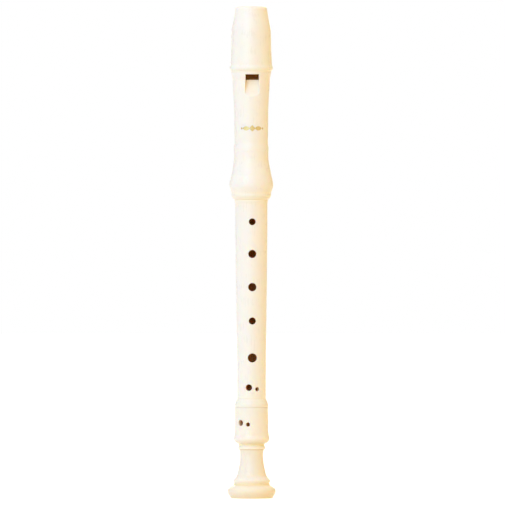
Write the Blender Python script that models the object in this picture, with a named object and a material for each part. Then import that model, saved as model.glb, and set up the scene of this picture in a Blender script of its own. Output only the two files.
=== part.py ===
"""Soprano recorder in ivory plastic, in three joints: head, middle and foot.

World frame: the centre of the foot's end face is the origin, +Z runs up the
bore to the beak, the finger holes and the window face -Y, and +X is to the
right of someone who looks at the finger holes. Heights (z) and radii below
are in millimetres, and angles are in degrees from -Y towards +X.
"""
import math

import bpy
import bmesh
from mathutils import Vector

MM = 0.001

# ---------------------------------------------------------------- dimensions
LENGTH = 328.0            # foot end to the tip of the beak
GAP = 0.3                 # clearance between neighbouring pieces
SIDES = 36                # facets round a turned piece
HOLE_SIDES = 16           # facets round a finger hole

# heights of the seams
BEAK_SEAM_Z = 284.0       # shoulder that the beak sits on
HEAD_END_Z = 199.2        # lower end of the head
FOOT_TOP_Z = 66.2         # upper end of the foot
FOOT_RING_Z = 60.55       # shoulder under the foot's socket ring
BELL_SEAM_Z = 32.15       # shoulder of the bell

# bore
HEAD_BORE_R = 6.7
MID_BORE_TOP_R = 6.4
MID_BORE_END_R = 5.4
FOOT_BORE_R = 5.2
BELL_MOUTH_R = 7.2

# window, labium and windway
WINDOW_W = 8.9
WINDOW_TOP_Z = 282.6
WINDOW_LOW_Z = 279.0
RAMP_END_Z = 268.2
RAMP_END_W = 9.7
LABIUM_Y = -6.5           # outer face of the labium at its edge
LABIUM_UNDER_Y = -6.0     # flat under the labium, inside the bore
LABIUM_FLAT_END_Z = 255.0
WINDWAY_ROOF_Y = -6.95
WINDWAY_ROOF_TIP_Y = -7.5
BLOCK_FLAT_Y = -5.6
BLOCK_R = 7.0
HOUSING_R = BLOCK_R + GAP

# beak cut: a cylinder across the back of the mouthpiece
BEAK_CUT_R = 40.0
BEAK_CUT_Y = 40.7
BEAK_CUT_Z = 326.2

# spigots between the glued pieces
BEAK_SPIGOT_R = 10.2
BEAK_SPIGOT_TOP_Z = 294.0
RING_SPIGOT_R = 11.0
FOOT_SPIGOT_R = 9.2
BELL_SPIGOT_R = 6.9
BELL_SPIGOT_TOP_Z = 38.5

# tenons and sockets
HEAD_TENON_R = 8.8
HEAD_TENON_TOP_Z = 219.0
HEAD_SOCKET_R = 9.15
FOOT_TENON_R = 7.8
FOOT_TENON_END_Z = 53.9
FOOT_SOCKET_R = 8.15
SEAL_W = 2.0              # width of a seal groove
SEAL_DEPTH = 1.1

HEAD_SEALS_Z = (213.6, 204.4)
FOOT_SEAL_Z = 60.2

# finger holes: (z, diameter, angle)
HOLES_MIDDLE = (
    (184.35, 4.5, 0.0),
    (162.9, 5.3, 0.0),
    (140.8, 5.45, 0.0),
    (118.25, 4.7, 0.0),
    (93.65, 6.0, 0.0),
    (73.85, 4.3, -15.0),
    (72.8, 2.7, 20.5),
)
THUMB_HOLE = (190.0, 4.8, 180.0)
HOLES_FOOT = (
    (50.3, 4.0, -45.5),
    (49.3, 2.7, -16.5),
)

# turned outlines, outer side, top to bottom: (radius, z)
BEAK_OUTLINE = (
    (9.0, LENGTH), (9.9, 327.3), (10.5, 325.9), (11.1, 323.0), (12.08, 317.8),
    (12.65, 315.1), (13.05, 312.0), (13.2, 308.0), (13.35, 299.0), (13.6, 293.8),
    (13.8, 289.9), (14.15, 288.4), (14.48, 287.1), (14.2, 285.9), (13.3, BEAK_SEAM_Z + GAP),
)
BARREL_OUTLINE = (
    (13.25, BEAK_SEAM_Z), (12.88, 281.8), (12.45, 279.8), (12.28, 276.0),
    (11.75, 267.3), (11.33, 256.0), (11.12, 241.0), (11.14, 237.0), (11.43, 234.9),
    (11.53, 231.35), (11.38, 230.9), (11.38, 226.3), (11.75, 223.8), (12.55, 219.4),
    (13.42, 215.1), (13.98, 213.0), (14.5, 210.4), (14.57, 208.4),
    (14.12, 206.2), (13.32, 204.2),
)
SOCKET_RING_OUTLINE = (
    (13.2, 203.9), (13.12, 202.2), (12.6, 200.6), (11.5, HEAD_END_Z),
)
MIDDLE_OUTLINE = (
    (11.0, HEAD_END_Z - GAP), (11.05, 198.1), (10.75, 196.2),
    (10.6, 172.0), (10.38, 147.0), (9.98, 122.0), (9.68, 94.0), (9.5, FOOT_TOP_Z + GAP),
)
FOOT_RING_OUTLINE = (
    (9.62, FOOT_TOP_Z), (10.08, 65.1), (10.9, 63.0), (11.07, 61.9),
    (11.0, FOOT_RING_Z + GAP),
)
FOOT_OUTLINE = (
    (10.98, FOOT_RING_Z), (11.1, 50.0), (11.2, 45.2), (11.5, 42.4), (11.98, 40.2),
    (11.8, 38.8), (11.15, 37.8), (8.75, 36.3), (8.45, 35.3), (8.98, 33.9),
    (8.95, 33.2), (8.55, 32.45),
)
BELL_OUTLINE = (
    (8.15, BELL_SEAM_Z), (7.8, 30.2), (7.76, 27.0), (8.05, 23.2), (8.85, 18.9),
    (9.9, 15.1), (11.5, 12.7), (12.1, 11.7), (11.72, 10.3), (11.9, 9.2),
    (12.9, 8.5), (15.3, 6.6), (16.07, 4.6), (15.6, 2.7), (13.7, 0.0),
)


# ------------------------------------------------------------------- scene
for old in list(bpy.data.objects):
    bpy.data.objects.remove(old, do_unlink=True)

SCENE = bpy.context.scene.collection


# ------------------------------------------------------------------ helpers
def plastic(name, colour, roughness):
    """A material with one Principled BSDF."""
    mat = bpy.data.materials.new(name)
    mat.use_nodes = True
    shader = mat.node_tree.nodes["Principled BSDF"]
    shader.inputs["Base Color"].default_value = (*colour, 1.0)
    shader.inputs["Roughness"].default_value = roughness
    shader.inputs["Metallic"].default_value = 0.0
    mat.diffuse_color = (*colour, 1.0)
    return mat


def point(radius, angle, z):
    """World position at a radius and an angle from the front, in metres."""
    a = math.radians(angle)
    return Vector((radius * math.sin(a), -radius * math.cos(a), z)) * MM


def to_object(bm, name, mat=None, smooth_angle=32.0):
    """Turns a bmesh into an object, with its faces out and its edges marked."""
    bmesh.ops.recalc_face_normals(bm, faces=bm.faces)
    mesh = bpy.data.meshes.new(name)
    bm.to_mesh(mesh)
    bm.free()
    mesh.polygons.foreach_set("use_smooth", [True] * len(mesh.polygons))
    mesh.set_sharp_from_angle(angle=math.radians(smooth_angle))
    obj = bpy.data.objects.new(name, mesh)
    SCENE.objects.link(obj)
    if mat is not None:
        mesh.materials.append(mat)
    return obj


def turned(name, outline, bore, mat, flat=None, sides=SIDES, turn=0.0):
    """A hollow turned piece.

    outline is the outer side from top to bottom, bore the inner side from
    top to bottom, and flat(z, r) gives the nearest that the bore may come to
    the front, as a y value, or None.
    """
    loop = [(r, z, False) for r, z in outline]
    loop += [(r, z, True) for r, z in reversed(bore)]
    bm = bmesh.new()
    rings = []
    for r, z, inner in loop:
        low = flat(z, r) if (flat and inner) else None
        ring = []
        for i in range(sides):
            p = point(r, turn + 360.0 * i / sides, z)
            if low is not None and p.y < low * MM:
                p.y = low * MM
            ring.append(bm.verts.new(p))
        rings.append(ring)
    count = len(rings)
    for k in range(count):
        a, b = rings[k], rings[(k + 1) % count]
        for i in range(sides):
            j = (i + 1) % sides
            bm.faces.new((a[i], a[j], b[j], b[i]))
    return to_object(bm, name, mat)


def round_bar(name, outline, mat, flat_y=None, sides=SIDES):
    """A solid turned bar with closed ends, and an optional flat at the front."""
    bm = bmesh.new()
    rings = []
    for r, z in outline:
        ring = []
        for i in range(sides):
            p = point(r, 360.0 * i / sides, z)
            if flat_y is not None and p.y < flat_y * MM:
                p.y = flat_y * MM
            ring.append(bm.verts.new(p))
        rings.append(ring)
    for a, b in zip(rings, rings[1:]):
        for i in range(sides):
            j = (i + 1) % sides
            bm.faces.new((a[i], a[j], b[j], b[i]))
    bm.faces.new(rings[0])
    bm.faces.new(rings[-1])
    return to_object(bm, name, mat)


def prism(name, corners_a, corners_b):
    """A closed solid between two polygons with the same number of corners."""
    bm = bmesh.new()
    a = [bm.verts.new(Vector(c) * MM) for c in corners_a]
    b = [bm.verts.new(Vector(c) * MM) for c in corners_b]
    bm.faces.new(a)
    bm.faces.new(b)
    for i in range(len(a)):
        j = (i + 1) % len(a)
        bm.faces.new((a[i], a[j], b[j], b[i]))
    return to_object(bm, name, None, 20.0)


def box(name, low, high):
    (x0, y0, z0), (x1, y1, z1) = low, high
    return prism(name,
                 [(x0, y0, z0), (x1, y0, z0), (x1, y1, z0), (x0, y1, z0)],
                 [(x0, y0, z1), (x1, y0, z1), (x1, y1, z1), (x0, y1, z1)])


def drill(name, z, diameter, angle, start, end):
    """A round cutter, square to the tube's axis, from radius start to end."""
    a = math.radians(angle)
    out = Vector((math.sin(a), -math.cos(a), 0.0))
    side = Vector((math.cos(a), math.sin(a), 0.0))
    bm = bmesh.new()
    rings = []
    for reach in (start, end):
        ring = []
        for i in range(HOLE_SIDES):
            t = 2.0 * math.pi * (i + 0.5) / HOLE_SIDES
            p = out * reach + side * (0.5 * diameter * math.cos(t))
            p.z = z + 0.5 * diameter * math.sin(t)
            ring.append(bm.verts.new(p * MM))
        rings.append(ring)
    for i in range(HOLE_SIDES):
        j = (i + 1) % HOLE_SIDES
        bm.faces.new((rings[0][i], rings[0][j], rings[1][j], rings[1][i]))
    bm.faces.new(rings[0])
    bm.faces.new(rings[1])
    return to_object(bm, name)


def cross_bar(name, radius, y, z, half, sides=112):
    """A round bar along X, used for the concave cut of the beak."""
    bm = bmesh.new()
    rings = []
    for x in (-half, half):
        ring = []
        for i in range(sides):
            t = 2.0 * math.pi * (i + 0.5) / sides
            ring.append(bm.verts.new(Vector((x, y + radius * math.cos(t),
                                             z + radius * math.sin(t))) * MM))
        rings.append(ring)
    for i in range(sides):
        j = (i + 1) % sides
        bm.faces.new((rings[0][i], rings[0][j], rings[1][j], rings[1][i]))
    bm.faces.new(rings[0])
    bm.faces.new(rings[1])
    return to_object(bm, name)


def cut(obj, *cutters):
    """Takes each cutter out of obj with a live Boolean modifier."""
    for cutter in cutters:
        mod = obj.modifiers.new("cut_" + cutter.name, "BOOLEAN")
        mod.operation = "DIFFERENCE"
        mod.solver = "EXACT"
        mod.object = cutter
        cutter.hide_render = True
        cutter.display_type = "WIRE"


def parent(children, holder):
    for child in children:
        child.parent = holder
        child.matrix_parent_inverse = holder.matrix_world.inverted()


def pivot(name, z):
    """An empty on the bore axis, that a joint's pieces hang on."""
    holder = bpy.data.objects.new(name, None)
    holder.location = (0.0, 0.0, z * MM)
    holder.empty_display_size = 0.01
    SCENE.objects.link(holder)
    holder.matrix_world = holder.matrix_basis
    return holder


# ---------------------------------------------------------------- materials
ivory = plastic("ivory_plastic", (0.88, 0.80, 0.66), 0.32)
ivory_head = plastic("ivory_plastic_head", (0.89, 0.81, 0.67), 0.30)
ivory_ring = plastic("ivory_plastic_ring", (0.86, 0.77, 0.61), 0.34)
ivory_foot = plastic("ivory_plastic_foot", (0.88, 0.80, 0.65), 0.32)
ivory_bell = plastic("ivory_plastic_bell", (0.87, 0.78, 0.63), 0.33)
ivory_block = plastic("ivory_plastic_block", (0.82, 0.73, 0.56), 0.45)
seal_rubber = plastic("seal_rubber", (0.72, 0.68, 0.60), 0.6)


# --------------------------------------------------------------------- head
def head_flat(z, r):
    """The bore's flat: over the windway, and under the labium."""
    if z > WINDOW_TOP_Z - 0.01:
        return -6.4
    if z > LABIUM_FLAT_END_Z + 0.01:
        t = (z - LABIUM_FLAT_END_Z) / (WINDOW_LOW_Z - LABIUM_FLAT_END_Z)
        return -(HEAD_BORE_R + (-LABIUM_UNDER_Y - HEAD_BORE_R) * min(1.0, t))
    return None


# beak: a cap over the barrel's spigot, with a housing for the block
beak = turned(
    "beak",
    BEAK_OUTLINE,
    [(HOUSING_R, LENGTH), (HOUSING_R, BEAK_SPIGOT_TOP_Z + GAP),
     (BEAK_SPIGOT_R + GAP, BEAK_SPIGOT_TOP_Z + GAP),
     (BEAK_SPIGOT_R + GAP, BEAK_SEAM_Z + GAP)],
    ivory_head,
    flat=lambda z, r: -6.4 if r < HOUSING_R + 0.1 else None,
)
beak_curve = cross_bar("cut_beak_curve", BEAK_CUT_R, BEAK_CUT_Y, BEAK_CUT_Z, 20.0)
half = WINDOW_W / 2.0
windway = prism(
    "cut_windway",
    [(-half, WINDWAY_ROOF_Y, WINDOW_TOP_Z - 1.0), (half, WINDWAY_ROOF_Y, WINDOW_TOP_Z - 1.0),
     (half, -5.2, WINDOW_TOP_Z - 1.0), (-half, -5.2, WINDOW_TOP_Z - 1.0)],
    [(-half - 0.5, WINDWAY_ROOF_TIP_Y, LENGTH + 1.0), (half + 0.5, WINDWAY_ROOF_TIP_Y, LENGTH + 1.0),
     (half + 0.5, -5.2, LENGTH + 1.0), (-half - 0.5, -5.2, LENGTH + 1.0)],
)
cut(beak, beak_curve, windway)

# block: the plug whose flat is the windway's floor
block = round_bar("block", [(BLOCK_R, LENGTH), (BLOCK_R, WINDOW_TOP_Z + 0.05)],
                  ivory_block, flat_y=BLOCK_FLAT_Y)
block_curve = cross_bar("cut_block_curve", BEAK_CUT_R, BEAK_CUT_Y, BEAK_CUT_Z, 20.0)
cut(block, block_curve)

# barrel: spigot, window, labium, bulb and socket in one piece
head_barrel = turned(
    "head_barrel",
    [(BEAK_SPIGOT_R, BEAK_SPIGOT_TOP_Z), (BEAK_SPIGOT_R, BEAK_SEAM_Z)]
    + list(BARREL_OUTLINE)
    + [(RING_SPIGOT_R, 204.2), (RING_SPIGOT_R, 200.8)],
    [(HOUSING_R, BEAK_SPIGOT_TOP_Z), (HOUSING_R, WINDOW_TOP_Z),
     (HEAD_BORE_R, WINDOW_TOP_Z - 0.3), (HEAD_BORE_R, WINDOW_LOW_Z),
     (HEAD_BORE_R, LABIUM_FLAT_END_Z),
     (HEAD_BORE_R, HEAD_TENON_TOP_Z + 0.6), (HEAD_SOCKET_R, HEAD_TENON_TOP_Z + 0.6),
     (HEAD_SOCKET_R, 200.8)],
    ivory_head,
    flat=head_flat,
)
window = box("cut_window", (-half, -20.0, WINDOW_LOW_Z), (half, -3.2, WINDOW_TOP_Z))
# The ramp's floor runs from the labium's edge out through the barrel's skin.
ramp_end_y = -11.62
slope = (ramp_end_y - LABIUM_Y) / (RAMP_END_Z - WINDOW_LOW_Z)
ramp_out_z = RAMP_END_Z - 4.0
ramp_out_y = LABIUM_Y + slope * (ramp_out_z - WINDOW_LOW_Z)
end_half = RAMP_END_W / 2.0 + (RAMP_END_W - WINDOW_W) / 2.0 * 4.0 / (WINDOW_LOW_Z - RAMP_END_Z)
over_z = WINDOW_LOW_Z + 0.4
over_y = LABIUM_Y + slope * 0.4
ramp = prism(
    "cut_ramp",
    [(-half, over_y, over_z), (half, over_y, over_z), (half, -20.0, over_z), (-half, -20.0, over_z)],
    [(-end_half, ramp_out_y, ramp_out_z), (end_half, ramp_out_y, ramp_out_z),
     (end_half, -20.0, ramp_out_z), (-end_half, -20.0, ramp_out_z)],
)
windway_low = prism(
    "cut_windway_low",
    [(-half, WINDWAY_ROOF_Y, WINDOW_TOP_Z - 1.0), (half, WINDWAY_ROOF_Y, WINDOW_TOP_Z - 1.0),
     (half, -5.2, WINDOW_TOP_Z - 1.0), (-half, -5.2, WINDOW_TOP_Z - 1.0)],
    [(-half - 0.13, WINDWAY_ROOF_Y - 0.14, BEAK_SPIGOT_TOP_Z + 1.0),
     (half + 0.13, WINDWAY_ROOF_Y - 0.14, BEAK_SPIGOT_TOP_Z + 1.0),
     (half + 0.13, -5.2, BEAK_SPIGOT_TOP_Z + 1.0), (-half - 0.13, -5.2, BEAK_SPIGOT_TOP_Z + 1.0)],
)
cut(head_barrel, window, ramp, windway_low)

# socket ring: an L-section that closes the end of the barrel
head_socket_ring = turned(
    "head_socket_ring",
    SOCKET_RING_OUTLINE,
    [(RING_SPIGOT_R + GAP, 203.9), (RING_SPIGOT_R + GAP, 200.5),
     (HEAD_SOCKET_R, 200.5), (HEAD_SOCKET_R, HEAD_END_Z)],
    ivory_ring,
)


# ------------------------------------------------------------------- middle
def grooved(radius, zs, top, bottom):
    """A tenon's outer side from top to bottom, with a groove at each seal."""
    line = [(radius - 0.4, top), (radius, top - 0.5)]
    for z in zs:
        line += [(radius, z + SEAL_W / 2), (radius - SEAL_DEPTH, z + SEAL_W / 2),
                 (radius - SEAL_DEPTH, z - SEAL_W / 2), (radius, z - SEAL_W / 2)]
    line.append((radius, bottom))
    return line


lower_tenon = [(FOOT_TENON_R, FOOT_TOP_Z + GAP),
               (FOOT_TENON_R, FOOT_SEAL_Z + SEAL_W / 2),
               (FOOT_TENON_R - SEAL_DEPTH, FOOT_SEAL_Z + SEAL_W / 2),
               (FOOT_TENON_R - SEAL_DEPTH, FOOT_SEAL_Z - SEAL_W / 2),
               (FOOT_TENON_R, FOOT_SEAL_Z - SEAL_W / 2),
               (FOOT_TENON_R, FOOT_TENON_END_Z + 0.5),
               (FOOT_TENON_R - 0.4, FOOT_TENON_END_Z)]

middle_joint = turned(
    "middle_joint",
    grooved(HEAD_TENON_R, HEAD_SEALS_Z, HEAD_TENON_TOP_Z, HEAD_END_Z - GAP)
    + list(MIDDLE_OUTLINE) + lower_tenon,
    [(MID_BORE_TOP_R, HEAD_TENON_TOP_Z), (5.9, 135.0), (MID_BORE_END_R, FOOT_TENON_END_Z)],
    ivory,
)
drills = []
for number, (z, diameter, angle) in enumerate(HOLES_MIDDLE + (THUMB_HOLE,), 1):
    drills.append(drill("cut_hole_%d" % number, z, diameter, angle, 3.6, 13.0))
cut(middle_joint, *drills)


# -------------------------------------------------------------------- seals
def seal(name, z, groove_r, socket_r):
    """A ring seal that fills its groove and reaches out to the socket."""
    r0, r1 = groove_r + 0.25, socket_r - 0.05
    h = SEAL_W / 2 - 0.28
    return turned(name, [(r1 - 0.3, z + h), (r1, z + 0.3), (r1, z - 0.3), (r1 - 0.3, z - h)],
                  [(r0, z + h), (r0, z - h)], seal_rubber)


head_seal_upper = seal("head_seal_upper", HEAD_SEALS_Z[0], HEAD_TENON_R - SEAL_DEPTH, HEAD_SOCKET_R)
head_seal_lower = seal("head_seal_lower", HEAD_SEALS_Z[1], HEAD_TENON_R - SEAL_DEPTH, HEAD_SOCKET_R)
foot_seal = seal("foot_seal", FOOT_SEAL_Z, FOOT_TENON_R - SEAL_DEPTH, FOOT_SOCKET_R)


# --------------------------------------------------------------------- foot
foot_socket_ring = turned(
    "foot_socket_ring",
    FOOT_RING_OUTLINE,
    [(FOOT_SOCKET_R, FOOT_TOP_Z), (FOOT_SOCKET_R, 65.2),
     (FOOT_SPIGOT_R + GAP, 65.2), (FOOT_SPIGOT_R + GAP, FOOT_RING_Z + GAP)],
    ivory_ring,
)
foot_body = turned(
    "foot_body",
    [(FOOT_SPIGOT_R, 64.9), (FOOT_SPIGOT_R, FOOT_RING_Z)] + list(FOOT_OUTLINE),
    [(FOOT_SOCKET_R, 64.9), (FOOT_SOCKET_R, FOOT_TENON_END_Z - 0.6),
     (FOOT_BORE_R, FOOT_TENON_END_Z - 0.6), (FOOT_BORE_R - 0.1, BELL_SPIGOT_TOP_Z + GAP),
     (BELL_SPIGOT_R + GAP, BELL_SPIGOT_TOP_Z + GAP), (BELL_SPIGOT_R + GAP, 32.45)],
    ivory_foot,
)
drills = []
for number, (z, diameter, angle) in enumerate(HOLES_FOOT, 1):
    drills.append(drill("cut_foot_hole_%d" % number, z, diameter, angle, 3.4, 13.5))
cut(foot_body, *drills)

foot_bell = turned(
    "foot_bell",
    [(BELL_SPIGOT_R, BELL_SPIGOT_TOP_Z), (BELL_SPIGOT_R, BELL_SEAM_Z)] + list(BELL_OUTLINE),
    [(FOOT_BORE_R - 0.1, BELL_SPIGOT_TOP_Z), (FOOT_BORE_R - 0.1, 20.0), (5.4, 9.0),
     (6.0, 3.5), (BELL_MOUTH_R, 0.0)],
    ivory_bell,
)


# ------------------------------------------------------------ joint holders
# Each connection turns about the bore axis and slides along it. The seals
# turn with the part above or below, and the part then slides over them.
head_axis = pivot("head_axis", HEAD_END_Z)
head_slide = pivot("head_slide", HEAD_END_Z)
foot_axis = pivot("foot_axis", FOOT_TOP_Z)
foot_slide = pivot("foot_slide", FOOT_TOP_Z)
parent([head_slide], head_axis)
parent([foot_slide], foot_axis)
parent([head_seal_upper, head_seal_lower], head_axis)
parent([beak, block, head_barrel, head_socket_ring], head_slide)
parent([beak_curve, windway], beak)
parent([block_curve], block)
parent([window, ramp, windway_low], head_barrel)
parent([foot_seal], foot_axis)
parent([foot_socket_ring, foot_body, foot_bell], foot_slide)
parent(drills, foot_body)
parent([o for o in SCENE.objects if o.name.startswith("cut_hole_")], middle_joint)
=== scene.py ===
"""The looks of the soprano recorder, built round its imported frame.

Lengths in the tables are in millimetres: (radius, height above the foot's end).
The finger holes face -Y, and the bore runs up +Z.
"""
import math

import bmesh
import bpy
import numpy as np
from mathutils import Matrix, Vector


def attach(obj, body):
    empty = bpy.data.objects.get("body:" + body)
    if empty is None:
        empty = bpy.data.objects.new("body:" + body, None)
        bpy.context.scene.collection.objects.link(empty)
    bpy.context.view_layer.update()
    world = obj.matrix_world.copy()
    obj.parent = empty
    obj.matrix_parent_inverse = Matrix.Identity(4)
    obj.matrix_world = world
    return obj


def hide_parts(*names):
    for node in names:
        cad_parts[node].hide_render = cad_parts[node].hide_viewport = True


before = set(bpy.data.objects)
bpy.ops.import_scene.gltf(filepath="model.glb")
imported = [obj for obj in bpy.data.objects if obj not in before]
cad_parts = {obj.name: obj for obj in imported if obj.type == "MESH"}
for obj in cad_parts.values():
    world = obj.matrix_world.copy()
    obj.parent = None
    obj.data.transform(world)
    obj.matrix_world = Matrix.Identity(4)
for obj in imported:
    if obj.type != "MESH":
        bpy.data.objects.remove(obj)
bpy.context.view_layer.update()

MM = 0.001
SIDES = 144                 # facets round a turned piece

# ------------------------------------------------------------------ outlines
# A third number makes the point a corner, rounded to that radius.
BARREL = [
    (7.04, 294.0, 0.15), (10.2, 294.0, 0.3), (10.2, 284.0, 0.08), (13.24, 284.0, 0.05),
    (13.1, 283.1), (12.88, 281.9), (12.6, 280.6), (12.4, 279.3), (12.3, 277.2),
    (12.2, 274.2), (12.05, 271.5), (11.8, 267.6), (11.6, 264.0), (11.38, 259.5),
    (11.33, 255.5), (11.3, 251.0), (11.24, 246.0), (11.13, 241.0), (11.11, 238.2),
    (11.16, 236.8), (11.33, 235.6), (11.5, 234.4), (11.56, 233.2), (11.51, 231.35, 0.15),
    (11.4, 231.0, 0.1), (11.39, 229.0), (11.37, 226.6), (11.5, 225.2), (11.75, 223.8),
    (12.08, 222.1), (12.38, 220.5), (12.7, 218.8), (13.02, 217.2),
    (13.45, 215.0), (13.78, 213.9), (14.06, 212.6),
    (14.35, 211.4), (14.52, 210.3), (14.58, 209.2), (14.56, 208.2), (14.42, 207.2),
    (14.2, 206.4), (13.95, 205.65), (13.69, 205.0), (13.43, 204.45), (13.24, 204.02, 0.015),
    (11.0, 204.02, 0.1),
    (11.0, 200.7, 0.2), (9.15, 200.7, 0.15), (9.15, 219.6, 0.15), (6.7, 219.6, 0.15),
    (6.7, 255.0, 0.0), (6.7, 279.0, 0.0), (6.7, 282.3, 0.0), (7.04, 282.6, 0.0),
]
SOCKET_RING = [
    (11.03, 204.0, 0.08), (13.23, 204.0, 0.015), (13.14, 203.5), (13.11, 202.8),
    (13.14, 202.2), (13.05, 201.5), (12.8, 200.85), (12.44, 200.25), (12.0, 199.7),
    (11.55, 199.3), (11.12, 199.03, 0.03), (9.15, 199.03, 0.2), (9.15, 200.58, 0.08), (11.03, 200.58, 0.08),
]
MIDDLE = [
    (6.4, 219.0, 0.2), (8.8, 219.0, 0.6),
    (8.8, 214.6, 0.1), (7.7, 214.6, 0.15), (7.7, 212.6, 0.15), (8.8, 212.6, 0.1),
    (8.8, 205.4, 0.1), (7.7, 205.4, 0.15), (7.7, 203.4, 0.15), (8.8, 203.4, 0.1),
    (8.8, 199.0, 0.1), (11.05, 199.0, 0.04), (11.06, 198.3), (10.94, 197.5),
    (10.82, 196.9), (10.75, 196.1), (10.72, 194.0), (10.68, 184.0), (10.6, 172.0),
    (10.47, 160.0), (10.38, 150.0), (10.31, 141.0), (10.12, 131.0), (9.95, 120.0),
    (9.82, 109.0), (9.71, 98.5), (9.61, 88.0), (9.56, 77.0), (9.52, 70.0),
    (9.5, 66.37, 0.015), (7.8, 66.37, 0.1),
    (7.8, 61.2, 0.1), (6.7, 61.2, 0.15), (6.7, 59.2, 0.15), (7.8, 59.2, 0.1),
    (7.8, 53.9, 0.5), (5.4, 53.9, 0.2), (5.62, 95.0), (5.9, 135.0), (6.15, 180.0),
]
FOOT_RING = [
    (9.22, 60.67, 0.08), (9.22, 65.05, 0.08), (8.15, 65.05, 0.08), (8.15, 66.34, 0.2),
    (9.52, 66.34, 0.015), (9.7, 66.0), (9.98, 65.4), (10.34, 64.5), (10.68, 63.7), (10.95, 62.9),
    (11.07, 62.1), (11.07, 61.4), (11.02, 60.67, 0.03),
]
FOOT = [
    (8.15, 64.9, 0.1), (9.18, 64.9, 0.2), (9.18, 60.57, 0.08), (11.01, 60.57, 0.03),
    (11.0, 59.4), (11.03, 57.0), (11.08, 53.5), (11.12, 50.0), (11.18, 47.0),
    (11.22, 45.2), (11.36, 44.0), (11.48, 42.8), (11.58, 41.8), (11.78, 41.0),
    (11.97, 40.3), (12.06, 39.6), (11.96, 38.95), (11.72, 38.45), (11.3, 37.85),
    (10.6, 37.2), (9.6, 36.6), (8.84, 36.1), (8.56, 35.55), (8.55, 35.15),
    (8.68, 34.75), (8.95, 34.25), (9.15, 33.75), (9.15, 33.25), (8.93, 32.8),
    (8.5, 32.4, 0.12), (6.93, 32.4, 0.08), (6.93, 38.65, 0.1), (5.1, 38.65, 0.15),
    (5.2, 53.3, 0.2), (8.15, 53.3, 0.15),
]
BELL = [
    (6.9, 38.5, 0.2), (6.9, 32.28, 0.08), (8.22, 32.28, 0.12), (8.03, 31.5), (7.87, 30.7),
    (7.79, 29.5), (7.75, 28.2), (7.77, 27.0), (7.83, 25.9), (7.92, 24.7), (8.04, 23.5),
    (8.2, 22.3), (8.43, 21.1), (8.68, 19.9), (8.95, 18.6), (9.2, 17.5), (9.5, 16.35),
    (9.85, 15.3), (10.28, 14.5), (10.78, 13.8), (11.35, 13.15), (11.9, 12.5),
    (12.28, 11.9), (12.36, 11.45), (12.18, 10.95), (11.92, 10.45), (11.82, 9.9), (11.92, 9.35),
    (12.35, 8.75), (13.35, 8.2), (14.4, 7.45), (15.2, 6.75), (15.75, 5.95),
    (16.0, 5.2), (16.07, 4.5), (15.97, 3.8), (15.74, 3.15), (15.4, 2.4),
    (14.98, 1.75), (14.5, 1.05), (14.1, 0.45), (13.8, 0.0, 0.4), (7.2, 0.0, 0.6),
    (6.0, 3.5), (5.42, 9.0), (5.15, 20.0), (5.1, 38.5, 0.15),
]
BEAK = [
    (13.24, 284.03), (13.27, 284.45), (13.42, 284.85), (13.78, 285.25), (14.14, 285.75),
    (14.38, 286.35), (14.47, 287.0), (14.38, 287.65), (14.15, 288.3), (13.93, 289.0),
    (13.82, 290.0),
    (13.76, 291.5), (13.7, 293.4), (13.56, 295.2), (13.46, 297.5), (13.36, 300.0),
    (13.28, 303.0), (13.22, 306.5), (13.17, 309.0), (13.04, 311.3), (12.84, 313.6),
    (12.55, 315.5), (12.2, 317.2), (11.82, 318.9), (11.48, 320.6), (11.17, 322.5),
    (10.92, 324.3), (10.65, 326.0), (10.4, 328.0),
]

# window, labium and windway
WINDOW_HALF = 4.5
WINDOW_TOP = 282.6
WINDOW_LOW = 279.0
RAMP_END = 268.2
RAMP_END_HALF = 4.85
LABIUM_Y = -6.5
LABIUM_UNDER_Y = -6.0
LABIUM_FLAT_END = 255.0
RAMP_END_Y = -11.62
ROOF_Y = -6.95
ROOF_TIP_Y = -7.5
FLOOR_Y = -5.6
CUT_R, CUT_Y, CUT_Z = 40.0, 40.7, 326.2

# finger holes: (height, diameter, angle from the front)
HOLES_MIDDLE = [
    (184.35, 4.5, 0.0), (162.9, 5.3, 0.0), (140.8, 5.45, 0.0), (118.25, 4.7, 0.0),
    (93.65, 6.0, 0.0), (73.85, 4.3, -15.0), (72.8, 2.7, 20.5), (190.0, 4.8, 180.0),
]
HOLES_FOOT = [(50.3, 4.0, -45.5), (49.3, 2.7, -16.5)]


# ------------------------------------------------------------- curve helpers
def through(points, step=0.06):
    """A smooth curve through the points, as a dense list."""
    p = [np.array(q, float) for q in points]
    if len(p) == 2:
        return p
    p = [2 * p[0] - p[1]] + p + [2 * p[-1] - p[-2]]
    out = []
    for i in range(1, len(p) - 2):
        p0, p1, p2, p3 = p[i - 1:i + 3]
        t0 = 0.0
        t1 = t0 + max(1e-6, np.linalg.norm(p1 - p0)) ** 0.5
        t2 = t1 + max(1e-6, np.linalg.norm(p2 - p1)) ** 0.5
        t3 = t2 + max(1e-6, np.linalg.norm(p3 - p2)) ** 0.5
        count = max(2, int(np.linalg.norm(p2 - p1) / step))
        for k in range(count):
            t = t1 + (t2 - t1) * k / count
            a1 = (t1 - t) / (t1 - t0) * p0 + (t - t0) / (t1 - t0) * p1
            a2 = (t2 - t) / (t2 - t1) * p1 + (t - t1) / (t2 - t1) * p2
            a3 = (t3 - t) / (t3 - t2) * p2 + (t - t2) / (t3 - t2) * p3
            b1 = (t2 - t) / (t2 - t0) * a1 + (t - t0) / (t2 - t0) * a2
            b2 = (t3 - t) / (t3 - t1) * a2 + (t - t1) / (t3 - t1) * a3
            out.append((t2 - t) / (t2 - t1) * b1 + (t - t1) / (t2 - t1) * b2)
    out.append(p[-2])
    return out


def length_of(line):
    return sum(float(np.linalg.norm(b - a)) for a, b in zip(line, line[1:]))


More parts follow.
